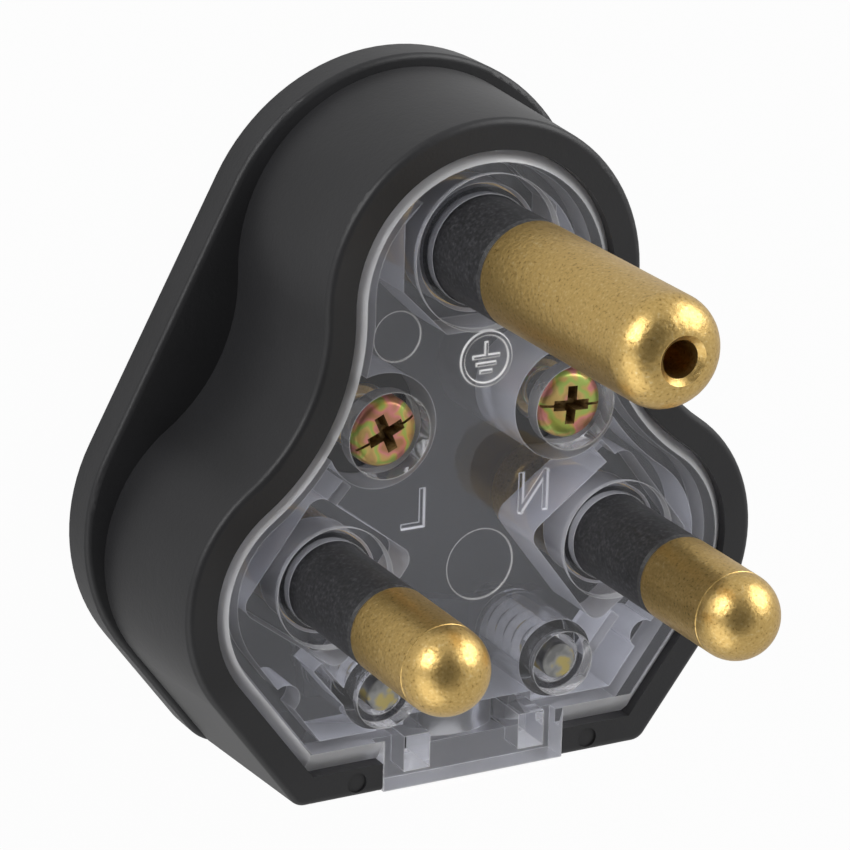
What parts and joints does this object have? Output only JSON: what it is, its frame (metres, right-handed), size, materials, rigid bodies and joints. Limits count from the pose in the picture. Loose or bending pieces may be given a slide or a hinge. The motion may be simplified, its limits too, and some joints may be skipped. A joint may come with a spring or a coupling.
{
  "type": "rewirable round-pin plug top",
  "caption": "Round-pin mains plug top with a black rubber cover, a clear base, sleeved brass pins, terminals and a cord clamp inside.",
  "frame": {"origin": "Centre of the plug's box, on the flat surface that its back lies on.", "axes": "+X runs from the live pin to the neutral pin, +Y points from the cord entry to the earth pin, +Z points out of the plug's face along the pins."},
  "size_m": [0.0552, 0.0562, 0.046],
  "materials": {
    "cover_rubber": "fine-grained satin black moulded rubber",
    "clear_plastic": "clear moulded plastic with a polished face",
    "pin_brass": "dull turned brass, lightly pitted",
    "sleeve_plastic": "matt black moulded plastic, slightly speckled",
    "screw_steel": "bright plated steel",
    "clamp_plastic": "dark grey moulded plastic",
    "passivated_zinc": "yellow zinc with a green and pink sheen"
  },
  "bodies": {
    "root": {"rubber_cover": "cover_rubber", "clear_base": "clear_plastic", "live_pin": "pin_brass", "neutral_pin": "pin_brass", "earth_pin": "pin_brass", "live_sleeve": "sleeve_plastic", "neutral_sleeve": "sleeve_plastic", "earth_sleeve": "sleeve_plastic", "live_terminal_screw": "screw_steel", "neutral_terminal_screw": "screw_steel", "earth_terminal_screw": "screw_steel", "cord_clamp_bar": "clamp_plastic", "cover_screw_left": "passivated_zinc", "cover_screw_right": "passivated_zinc", "cover_insert_left": "pin_brass", "cover_insert_right": "pin_brass", "clamp_screw_left": "screw_steel", "clamp_screw_right": "screw_steel"}
  },
  "joints": []
}
